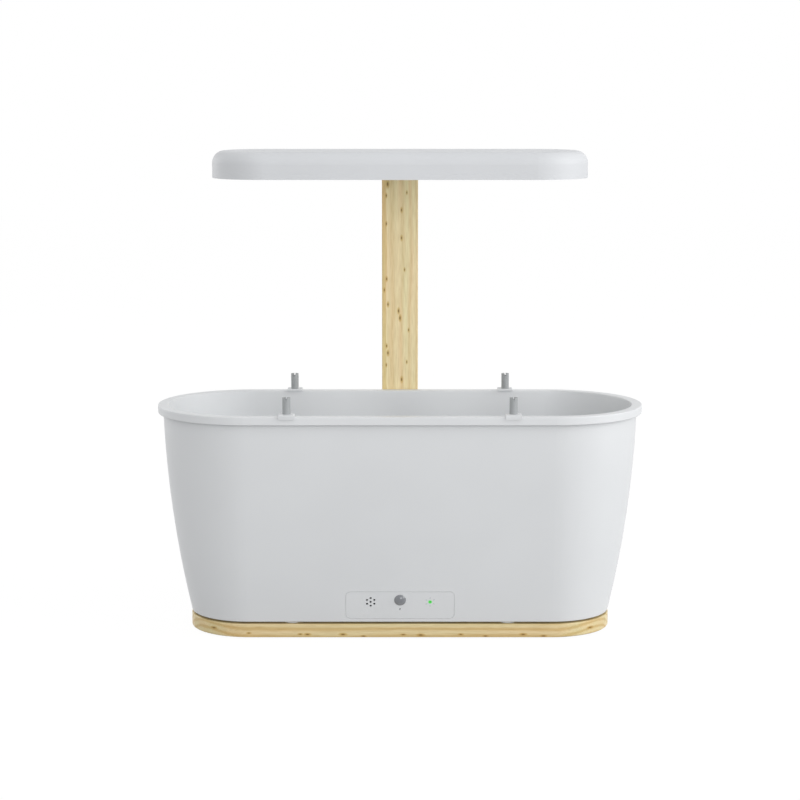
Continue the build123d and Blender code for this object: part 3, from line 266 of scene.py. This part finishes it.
postPine = {
    "along": "Z", "stretch": 0.06, "wander": 60, "sway": 3.0, "pith": (30, -140, 0),
    "ring": 5.0, "waver": 2.5, "lacquer": 0.12, "lacquerRoughness": 0.35,
    "early": "#F5E8C6", "middle": "#F2E2BD", "late": "#EDD9B0", "fibre": 0.9, "patch": 9,
    "fibreShade": "#EFEAE0", "warm": "#FFF6E8", "cool": "#F8FBEC",
    "roughness": 0.5, "depth": 0.03, "across": "X",
    "staves": [(-12.0, 0.8, "#F4E9D2")],        # a darker glued stave at the left edge
    "knotSize": (0.75, 3.0, 1.9), "haloReach": 2.3, "halo": "#E6D6AC", "knot": "#7A6233",
    "knots": [                                  # X, Y, Z and size
        (-12.6, 91.5, 437.4, 1.5), (-14.0, 91.5, 425.7, 0.9), (7.0, 91.5, 428.7, 0.8),
        (1.6, 91.5, 410.9, 1.0), (-14.0, 91.5, 396.9, 0.9), (1.6, 91.5, 382.3, 1.1),
        (4.7, 91.5, 349.7, 0.8), (-13.7, 91.5, 340.1, 1.0), (-16.1, 91.5, 328.7, 0.9),
        (-12.4, 91.5, 313.8, 1.1), (-1.5, 91.5, 307.0, 1.2), (0.0, 91.5, 299.7, 1.3),
        (8.9, 91.5, 287.2, 0.8), (-13.8, 91.5, 270.6, 0.9), (-12.5, 91.5, 263.3, 1.2),
        (7.0, 91.5, 253.9, 0.8), (-14.2, 91.5, 250.7, 0.8), (1.7, 91.5, 235.5, 1.2),
        (-6.0, 111.5, 380.0, 1.2), (12.0, 111.5, 300.0, 1.0), (18.5, 98.0, 350.0, 1.2),
        (-18.5, 104.0, 290.0, 1.1), (9.0, 111.5, 120.0, 1.3), (-12.0, 111.5, 190.0, 1.0),
    ],
}
boardPine = {
    "along": "X", "stretch": 0.06, "wander": 70, "sway": 3.0, "pith": (0, 40, 30),
    "ring": 6.0, "waver": 2.5, "lacquer": 0.12, "lacquerRoughness": 0.35,
    "early": "#F6E8C5", "middle": "#F0DEB5", "late": "#E2CA98", "fibre": 0.9, "patch": 11,
    "fibreShade": "#EFEAE0", "warm": "#FBF4EA", "cool": "#F6FAF2",
    "roughness": 0.5, "depth": 0.03, "across": "Y",
    "staves": [(-20.0, 0.8, "#F2EFE4")],
    "knotSize": (2.0, 3.0, 0.75), "haloReach": 2.3, "halo": "#E4D2A4", "knot": "#80632F",
    "knots": [
        (-183.5, -49.0, 8.7, 1.2), (-148.5, -60.0, 5.9, 0.8), (-97.9, -60.0, 4.8, 0.9),
        (-90.9, -60.0, 4.6, 1.2), (-56.0, -60.0, 4.6, 1.3), (-35.9, -60.0, 2.8, 0.9),
        (3.2, -60.0, 4.4, 0.9), (20.3, -60.0, 4.0, 1.3), (59.7, -60.0, 4.6, 0.9),
        (84.0, -60.0, 2.8, 0.9), (121.0, -60.0, 4.6, 1.2), (141.0, -60.0, 3.0, 1.1),
        (188.0, -46.0, 8.0, 1.2), (60.0, 60.0, 9.0, 1.1), (-90.0, 60.0, 6.0, 1.2),
        (150.0, 60.0, 7.0, 1.0), (120.0, 20.0, 1.5, 1.6), (-80.0, -20.0, 1.5, 1.8),
        (-12.0, 112.0, 15.0, 1.2), (20.0, 30.0, 1.5, 1.4),
    ],
}
stripPine = dict(postPine)
stripPine.update({"staves": [], "middle": "#F0DDB2", "late": "#E2CA98",
                  "knots": [(1.0, 111.5, 330.0, 0.9), (-2.0, 111.5, 210.0, 1.0), (2.0, 111.5, 90.0, 0.8)]})


# Metals

def zincPlatedSteel(name, values):
    # Bright zinc over steel: cool grey with a fine drawn texture
    material, tree, surface, place = newMaterial(name, Metallic=1.0, Roughness=values["roughness"])
    scratch = addNode(tree, "TexNoise", {"Vector": place}, Scale=perMetre(values["scratch"]), Detail=4.0)
    addNode(tree, "ValToRGB", {"Fac": scratch}, [(0.3, values["shade"]), (0.7, values["colour"])],
            surface["Base Color"])
    addNode(tree, "Bump", {"Height": scratch}, to=surface["Normal"], Distance=values["depth"] * mm)
    return material


screwZinc = {"colour": "#D2D4D6", "shade": "#B9BCC0", "roughness": 0.32, "scratch": 0.5, "depth": 0.01}


def extrudedAluminium(name, values):
    # Mill-finish aluminium: soft lines along the extrusion
    material, tree, surface, place = newMaterial(name, Metallic=1.0, Roughness=values["roughness"])
    run = addNode(tree, "Mapping", {"Vector": place}, Scale=(values["stretch"], 1.0, 1.0))
    lines = addNode(tree, "TexNoise", {"Vector": run}, Scale=perMetre(values["line"]), Detail=5.0)
    addNode(tree, "ValToRGB", {"Fac": lines}, [(0.3, values["shade"]), (0.7, values["colour"])],
            surface["Base Color"])
    addNode(tree, "Bump", {"Height": lines}, to=surface["Normal"], Distance=values["depth"] * mm)
    return material


spreaderAluminium = {
    "colour": "#D9DBDD", "shade": "#BFC2C5", "roughness": 0.38, "line": 0.6, "depth": 0.02,
    "stretch": 0.02,                # lines this much slower along X than across
}


def groundStainless(name, values):
    # Centreless-ground stainless steel: close to a mirror, with hair-fine rings
    material, tree, surface, place = newMaterial(name, Metallic=1.0, Roughness=values["roughness"])
    rings = addNode(tree, "TexWave", {"Vector": place}, bands_direction="Z",
                    Scale=waveTurn * perMetre(values["rings"]), Distortion=1.0)
    addNode(tree, "ValToRGB", {"Fac": rings}, [(0.0, values["shade"]), (1.0, values["colour"])],
            surface["Base Color"])
    addNode(tree, "Bump", {"Height": rings}, to=surface["Normal"], Distance=values["depth"] * mm)
    return material


shaftStainless = {"colour": "#DADCDE", "shade": "#C6C9CC", "roughness": 0.16, "rings": 0.4, "depth": 0.004}


# Boards, rubber, foam and clear parts

brickRow = 0.25                 # the height of one row in a brick texture of scale 1


def solderMask(name, values):
    # Glass-fibre board under solder mask: its tracks stand out as slightly lighter, raised bands
    material, tree, surface, place = newMaterial(name, Roughness=values["roughness"], IOR=1.55)
    tracks = addNode(tree, "TexBrick", {"Vector": place}, to=surface["Base Color"],
                     Scale=brickRow * perMetre(values["track"]), Mortar_Size=values["gap"],
                     Color1=linear(values["mask"]), Color2=linear(values["mask2"]),
                     Mortar=linear(values["line"]))
    addNode(tree, "Bump", {"Height": tracks.outputs["Fac"]}, to=surface["Normal"],
            Distance=values["depth"] * mm)
    return material


greenBoard = {
    "track": 3, "gap": 0.012, "mask": "#14522C", "mask2": "#175A31", "line": "#2C7A48",
    "roughness": 0.32, "depth": 0.03,
}
whiteBoard = {
    "track": 9, "gap": 0.012, "mask": "#E9E9E6", "mask2": "#EEEEEB", "line": "#D2D2CD",
    "roughness": 0.32, "depth": 0.03,
}


def nitrileRubber(name, values):
    # Moulded nitrile: dull black with a dusty bloom
    material, tree, surface, place = newMaterial(name, Roughness=values["roughness"], IOR=1.52)
    bloom = addNode(tree, "TexNoise", {"Vector": place}, Scale=perMetre(values["bloom"]), Detail=5.0)
    addNode(tree, "ValToRGB", {"Fac": bloom}, [(0.3, values["shade"]), (0.75, values["colour"])],
            surface["Base Color"])
    addNode(tree, "Bump", {"Height": bloom}, to=surface["Normal"], Distance=values["depth"] * mm)
    return material


feetNitrile = {"colour": "#2B2B2C", "shade": "#19191A", "roughness": 0.78, "bloom": 3, "depth": 0.05}


def extrudedJacket(name, values):
    # Soft PVC lead jacket: smooth along, with faint marks from the rollers
    material, tree, surface, place = newMaterial(name, Roughness=values["roughness"], IOR=1.53)
    marks = addNode(tree, "TexNoise", {"Vector": place}, Scale=perMetre(values["marks"]), Detail=3.0)
    addNode(tree, "ValToRGB", {"Fac": marks}, [(0.3, values["shade"]), (0.7, values["colour"])],
            surface["Base Color"])
    addNode(tree, "Bump", {"Height": marks}, to=surface["Normal"], Distance=values["depth"] * mm)
    return material


jacketGrey = {"colour": "#C9CACC", "shade": "#BEBFC1", "roughness": 0.45, "marks": 2, "depth": 0.02}
jacketBlack = {"colour": "#2B2B2D", "shade": "#222224", "roughness": 0.45, "marks": 2, "depth": 0.02}


def opalAcrylic(name, values):
    # Opal acrylic diffuser: milky, slightly translucent, with a fine prismatic grain
    material, tree, surface, place = newMaterial(name, Roughness=values["roughness"], IOR=1.49,
                                                 Transmission_Weight=values["clear"])
    prisms = addNode(tree, "TexVoronoi", {"Vector": place}, feature="SMOOTH_F1",
                     Scale=perMetre(values["prism"]))
    addNode(tree, "ValToRGB", {"Fac": prisms}, [(0.0, values["colour"]), (0.8, values["shade"])],
            surface["Base Color"])
    addNode(tree, "Bump", {"Height": prisms}, to=surface["Normal"], Distance=values["depth"] * mm)
    return material


diffuserOpal = {
    "colour": "#F2F2EE", "shade": "#E8E9E6", "roughness": 0.5, "clear": 0.12, "prism": 1.6, "depth": 0.08,
}


def clearPolycarbonate(name, values):
    # Extruded clear tube: faint draw lines and a blue-grey cast where it is thick
    material, tree, surface, place = newMaterial(name, Roughness=values["roughness"], IOR=1.58,
                                                 Transmission_Weight=values["clear"])
    run = addNode(tree, "Mapping", {"Vector": place}, Scale=(1.0, 1.0, values["stretch"]))
    lines = addNode(tree, "TexNoise", {"Vector": run}, Scale=perMetre(values["line"]), Detail=2.0)
    addNode(tree, "ValToRGB", {"Fac": lines}, [(0.3, values["shade"]), (0.7, values["colour"])],
            surface["Base Color"])
    addNode(tree, "Bump", {"Height": lines}, to=surface["Normal"], Distance=values["depth"] * mm)
    return material


tubeClear = {
    "colour": "#EDF1F3", "shade": "#D6DEE2", "roughness": 0.12, "clear": 0.75, "line": 1.2, "depth": 0.02,
    "stretch": 0.03,                # lines this much slower along Z than across
}


def closedCellFoam(name, values):
    # Closed-cell EVA foam: matt orange skin with fine popped cells
    material, tree, surface, place = newMaterial(name, Roughness=values["roughness"], IOR=1.45)
    cells = addNode(tree, "TexVoronoi", {"Vector": place}, Scale=perMetre(values["cell"]))
    addNode(tree, "ValToRGB", {"Fac": cells}, [(0.0, values["shade"]), (0.5, values["colour"])],
            surface["Base Color"])
    addNode(tree, "Bump", {"Height": cells}, to=surface["Normal"], Distance=values["depth"] * mm)
    return material


floatFoam = {"colour": "#E08B3E", "shade": "#C9762F", "roughness": 0.8, "cell": 0.9, "depth": 0.12}


def smokedDome(name, values):
    # Smoked polycarbonate lens, polished: grey, with a slow swirl from the mould
    material, tree, surface, place = newMaterial(name, Roughness=values["roughness"], IOR=1.58,
                                                 Coat_Weight=values["polish"],
                                                 Coat_Roughness=values["polishRoughness"])
    swirl = addNode(tree, "TexNoise", {"Vector": place}, Scale=perMetre(values["swirl"]), Detail=1.0)
    addNode(tree, "ValToRGB", {"Fac": swirl}, [(0.35, values["shade"]), (0.65, values["colour"])],
            surface["Base Color"])
    addNode(tree, "Bump", {"Height": swirl}, to=surface["Normal"], Distance=values["depth"] * mm)
    return material


domeSmoke = {
    "colour": "#86898E", "shade": "#74777C", "roughness": 0.16, "polish": 0.5, "polishRoughness": 0.05,
    "swirl": 9, "depth": 0.05,
}


def greenLight(name, values):
    # Green status light under a clear lens: a bright core that falls off to its edge
    material, tree, surface, place = newMaterial(name, Roughness=values["roughness"], IOR=1.49,
                                                 Emission_Strength=values["strength"])
    parts = addNode(tree, "SeparateXYZ", {"Vector": place})
    flat = addNode(tree, "CombineXYZ", {"X": parts.outputs["X"], "Y": parts.outputs["Z"]})
    centre = addNode(tree, "VectorMath", {0: flat}, operation="SUBTRACT",
                     in_1=(values["x"] * mm, values["z"] * mm, 0))
    reach = addNode(tree, "VectorMath", {0: centre}, operation="LENGTH")
    share = addNode(tree, "MapRange", {0: reach.outputs["Value"]}, in_1=values["core"] * mm,
                    in_2=values["edge"] * mm)
    glow = addNode(tree, "ValToRGB", {"Fac": share},
                   [(0.0, values["middle"]), (0.5, values["ring"]), (1.0, values["rim"])],
                   surface["Base Color"])
    tree.links.new(glow.outputs["Color"], surface["Emission Color"])
    return material


statusLight = {
    "x": 29.4, "z": 38.4, "core": 0.6, "edge": 2.1, "strength": 0.35, "roughness": 0.2,
    "middle": "#35B13A", "ring": "#4FC653", "rim": "#A9E9AB",
}


def ledPackage(name, values):
    # White LED: yellow phosphor gel, slightly uneven under its clear skin
    material, tree, surface, place = newMaterial(name, Roughness=values["roughness"], IOR=1.5)
    gel = addNode(tree, "TexNoise", {"Vector": place}, Scale=perMetre(values["cloud"]), Detail=2.0)
    addNode(tree, "ValToRGB", {"Fac": gel}, [(0.35, values["shade"]), (0.65, values["colour"])],
            surface["Base Color"])
    addNode(tree, "Bump", {"Height": gel}, to=surface["Normal"], Distance=values["depth"] * mm)
    return material


ledGel = {"colour": "#F2E7A8", "shade": "#E8D98A", "roughness": 0.3, "cloud": 2.5, "depth": 0.05}


def openCellSponge(name, values):
    # Peat-filled open-cell sponge: dark brown, with painted shade darkest in its pores and the walls
    # between them lighter
    material, tree, surface, place = newMaterial(name, Roughness=values["roughness"], IOR=1.4)
    pores = addNode(tree, "TexVoronoi", {"Vector": place}, Scale=perMetre(values["pore"]))
    blotch = addNode(tree, "TexNoise", {"Vector": place}, Scale=perMetre(values["blotch"]), Detail=6.0)
    mixed = addNode(tree, "Math", {0: pores, 1: blotch}, operation="MULTIPLY")
    # painted shade: the ramp darkens the pits of the pore bump and lightens the walls, and the blotch
    # noise varies the tone at random
    addNode(tree, "ValToRGB", {"Fac": mixed},
            [(0.05, values["paintedPoreShade"]), (0.3, values["colour"]), (0.55, values["wall"])],
            surface["Base Color"])
    addNode(tree, "Bump", {"Height": pores}, to=surface["Normal"], Distance=values["depth"] * mm)
    return material


peatSponge = {
    "pore": 1.3, "blotch": 5, "depth": 0.35, "roughness": 0.95,
    # the darkest colour is painted shade at the bottom of the pores
    "paintedPoreShade": "#24180F", "colour": "#4A3524", "wall": "#6E5338",
}


def padPrintInk(name, values):
    # Pad-printed grey-blue ink: thin and matt
    material, tree, surface, place = newMaterial(name, Roughness=values["roughness"], IOR=1.5)
    speck = addNode(tree, "TexNoise", {"Vector": place}, Scale=perMetre(values["speck"]), Detail=2.0)
    addNode(tree, "ValToRGB", {"Fac": speck}, [(0.3, values["shade"]), (0.7, values["colour"])],
            surface["Base Color"])
    return material


dashInk = {"colour": "#A8AEBA", "shade": "#9AA0AE", "roughness": 0.6, "speck": 0.4}


finishes = {
    "pine_board": lacqueredPine("boardPine", boardPine),
    "pine_post": lacqueredPine("postPine", postPine),
    "pine_strip": lacqueredPine("stripPine", stripPine),
    "white_shell": mouldedAbs("shellAbs", absTub),
    "white_tub": mouldedAbs("tubAbs", absTub),
    "white_panel": mouldedAbs("panelAbs", absTub),
    "white_lamp": mouldedAbs("lampAbs", absLamp),
    "white_arm": mouldedAbs("armAbs", absLamp),
    "white_deck": mouldedAbs("deckAbs", absDeck),
    "smoked_dome": smokedDome("smokedPolycarbonate", domeSmoke),
    "green_light": greenLight("greenStatusLight", statusLight),
    "grey_clip": mouldedAbs("clipAbs", absClip),
    "grey_peg": acetalGrey("greyAcetal", pegGrey),
    "black_rubber": nitrileRubber("nitrileRubber", feetNitrile),
    "steel_screw": zincPlatedSteel("zincPlatedSteel", screwZinc),
    "black_plastic": glassFilledNylon("blackNylon", nylonBlack),
    "heat_metal": extrudedAluminium("extrudedAluminium", spreaderAluminium),
    "green_board": solderMask("greenSolderMask", greenBoard),
    "white_board": solderMask("whiteSolderMask", whiteBoard),
    "led_package": ledPackage("ledPhosphor", ledGel),
    "milky_diffuser": opalAcrylic("opalAcrylic", diffuserOpal),
    "lead_jacket": extrudedJacket("greyJacket", jacketGrey),
    "black_lead": extrudedJacket("blackJacket", jacketBlack),
    "impeller_blue": glassFilledNylon("blueNylon", rotorBlue),
    "steel_shaft": groundStainless("groundStainless", shaftStainless),
    "clear_tube": clearPolycarbonate("clearPolycarbonate", tubeClear),
    "float_foam": closedCellFoam("closedCellFoam", floatFoam),
    "black_cup": glassFilledNylon("blackCupNylon", cupBlack),
    "sponge_brown": openCellSponge("openCellSponge", peatSponge),
}
for nodeName, piece in nodes.items():
    for materialSlot in piece.material_slots:
        materialSlot.material = finishes[slotOf[nodeName]]
say("finishes on %d parts" % len(nodes))


# Growing sponges: round plugs of torn-open foam, with a hole for the seed

sponge = {
    "count": 6,
    "around": 72, "step": 1.6,      # mesh points round a plug, and millimetres between its rings
    "poreDepth": 0.9, "poreSize": 2.2, "poreEdge": 0.6,
    "shift": 0.37,                  # how far each plug's pores are moved, so that no two are alike
    "holeRadius": 3.0, "holeDepth": 12.0,
    "taper": 7 / 58,                # the cup's wall leans in this much
}


def spongeProfile(low, high, footRadius, topRadius, values):
    # radius and height from the hole's bottom, over the top and down the side to the middle of the foot
    holeRadius, holeBottom = values["holeRadius"] * mm, high - values["holeDepth"] * mm
    corners = [(0.0, holeBottom), (holeRadius, holeBottom), (holeRadius, high), (topRadius, high),
               (footRadius, low), (0.0, low)]
    profile = [corners[0]]
    for start, end in zip(corners, corners[1:]):
        count = max(1, round(math.dist(start, end) / (values["step"] * mm)))
        for i in range(1, count + 1):
            profile.append([a + (b - a) * i / count for a, b in zip(start, end)])
    return profile


def makeSponge(number, values):
    cadName, name = "sponge_%d" % number, "growing_sponge_%d" % number
    low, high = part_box(cadName)
    x, y = (low[0] + high[0]) / 2, (low[1] + high[1]) / 2
    topRadius = (high[0] - low[0]) / 2
    footRadius = topRadius - (high[2] - low[2]) * values["taper"]
    mesh = bmesh.new()
    rings = []
    for radius, height in spongeProfile(low[2], high[2], footRadius, topRadius, values):
        turns = values["around"] if radius > 0 else 1
        angles = [2 * math.pi * i / turns for i in range(turns)]
        rings.append([mesh.verts.new((x + radius * math.cos(a), y + radius * math.sin(a), height))
                      for a in angles])
    for upper, lower in zip(rings, rings[1:]):
        for i in range(values["around"]):
            j = i + 1
            corners = [upper[i % len(upper)], upper[j % len(upper)],
                       lower[j % len(lower)], lower[i % len(lower)]]
            mesh.faces.new(list(dict.fromkeys(corners)))
    bmesh.ops.recalc_face_normals(mesh, faces=mesh.faces)
    mesh.normal_update()
    shift = Vector((number * values["shift"], 0, 0))
    moves = []
    for vertex in mesh.verts:
        cell = noise.voronoi((vertex.co + shift) / (values["poreSize"] * mm))[0]
        pore = max(0.0, values["poreEdge"] - cell[0]) / values["poreEdge"]
        moves.append(vertex.normal * pore * values["poreDepth"] * mm)
    for vertex, move in zip(mesh.verts, moves):
        vertex.co -= move
    data = bpy.data.meshes.new(name)
    mesh.to_mesh(data)
    mesh.free()
    data.shade_smooth()
    data.materials.append(finishes["sponge_brown"])
    piece = bpy.data.objects.new(name, data)
    scene.collection.objects.link(piece)
    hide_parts(cadName)
    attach(piece, "cup_%d" % number)


for number in range(1, sponge["count"] + 1):
    makeSponge(number, sponge)
say("sponges made")


# Six printed dashes round the status light

dashes = {
    "ring": 4.2, "length": 1.5, "width": 0.55,      # the ring's radius and one dash, in millimetres
    "lift": 0.03, "depth": 0.045, "count": 6,
    "rayStart": -1.0,                               # metres, well in front of the panel
    "outline": [(-0.5, 0.35), (-0.5, -0.35), (-0.2, -0.5), (0.5, -0.3), (0.5, 0.3), (-0.2, 0.5)],
}


def printDashes(values, light):
    panel = nodes["control_panel"]
    mesh = bmesh.new()
    for number in range(values["count"]):
        angle = math.radians(90 + 360 * number / values["count"])
        out = Vector((math.cos(angle), math.sin(angle)))
        side = Vector((-out.y, out.x))
        corners = []
        for along, across in values["outline"]:
            spot = out * (values["ring"] + along * values["length"]) + side * across * values["width"]
            x, z = (light["x"] + spot.x) * mm, (light["z"] + spot.y) * mm
            face = panel.ray_cast(Vector((x, values["rayStart"], z)), Vector((0, 1, 0)))[1]
            corners.append(mesh.verts.new((x, face.y - values["lift"] * mm, z)))
        solid = bmesh.ops.extrude_face_region(mesh, geom=[mesh.faces.new(corners)])
        for part in solid["geom"]:
            if isinstance(part, bmesh.types.BMVert):
                part.co.y += values["depth"] * mm
    bmesh.ops.recalc_face_normals(mesh, faces=mesh.faces)
    data = bpy.data.meshes.new("light_dashes")
    mesh.to_mesh(data)
    mesh.free()
    data.materials.append(padPrintInk("padPrintInk", dashInk))
    piece = bpy.data.objects.new("light_dashes", data)
    scene.collection.objects.link(piece)
    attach(piece, "stand")


printDashes(dashes, statusLight)
say("dashes printed")


# Studio: white floor and backdrop, even light all round, broad soft lights on the right and in front,
# and a weak one behind on the left that picks out the edges there

studio = {
    "world": 0.7,
    "lights": {
        "key": {"place": (2.9, -0.9, 1.3), "size": 2.6, "watts": 43},
        "fill": {"place": (1.1, -3.8, 0.9), "size": 2.4, "watts": 40},
        "edge": {"place": (-2.0, 1.5, 0.6), "size": 1.6, "watts": 10},
    },
    "floorPaint": 0.5, "floorGlow": 0.9, "glowStrength": 1.07, "floorSize": 12,
    "aim": (0, 0, 0.22),
}


def softLight(name, values, aim):
    data = bpy.data.lights.new(name, "AREA")
    data.shape = "DISK"
    data.size = values["size"]
    data.energy = values["watts"]
    lamp = bpy.data.objects.new(name, data)
    lamp.location = values["place"]
    lamp.rotation_euler = (Vector(aim) - Vector(values["place"])).to_track_quat("-Z", "Y").to_euler()
    scene.collection.objects.link(lamp)


def seenDirectly(tree):
    # 1 for the camera, for reflections and through glass, 0 for the light that falls on the object
    path = addNode(tree, "LightPath")
    mirror = addNode(tree, "Math", operation="MAXIMUM",
                     links={0: path.outputs["Is Glossy Ray"], 1: path.outputs["Is Transmission Ray"]})
    return addNode(tree, "Math", {0: path.outputs["Is Camera Ray"], 1: mirror}, operation="MAXIMUM")


def whiteWorld(values):
    world = bpy.data.worlds.new("studio")
    world.use_nodes = True
    scene.world = world
    tree = world.node_tree
    tree.nodes.clear()
    ambient = addNode(tree, "Background", Color=(1, 1, 1, 1), Strength=values["world"])
    backdrop = addNode(tree, "Background", Color=(1, 1, 1, 1), Strength=1.0)
    mixed = addNode(tree, "MixShader", {0: seenDirectly(tree), 1: ambient, 2: backdrop})
    addNode(tree, "OutputWorld", {"Surface": mixed})


def whiteFloor(values):
    material = bpy.data.materials.new("studioFloor")
    material.use_nodes = True
    tree = material.node_tree
    tree.nodes.clear()
    paint = addNode(tree, "BsdfDiffuse", Color=[values["floorPaint"]] * 3 + [1])
    glow = addNode(tree, "Emission", Color=(1, 1, 1, 1), Strength=values["glowStrength"])
    share = addNode(tree, "Math", {0: seenDirectly(tree)}, operation="MULTIPLY", in_1=values["floorGlow"])
    mixed = addNode(tree, "MixShader", {0: share, 1: paint, 2: glow})
    addNode(tree, "OutputMaterial", {"Surface": mixed})
    bpy.ops.mesh.primitive_plane_add(size=values["floorSize"])
    floor = bpy.context.object
    floor.name = "floor"
    floor.data.materials.append(material)


whiteWorld(studio)
whiteFloor(studio)
for lightName, light in studio["lights"].items():
    softLight(lightName, light, studio["aim"])
scene.view_settings.view_transform = "Standard"
say("studio lit")
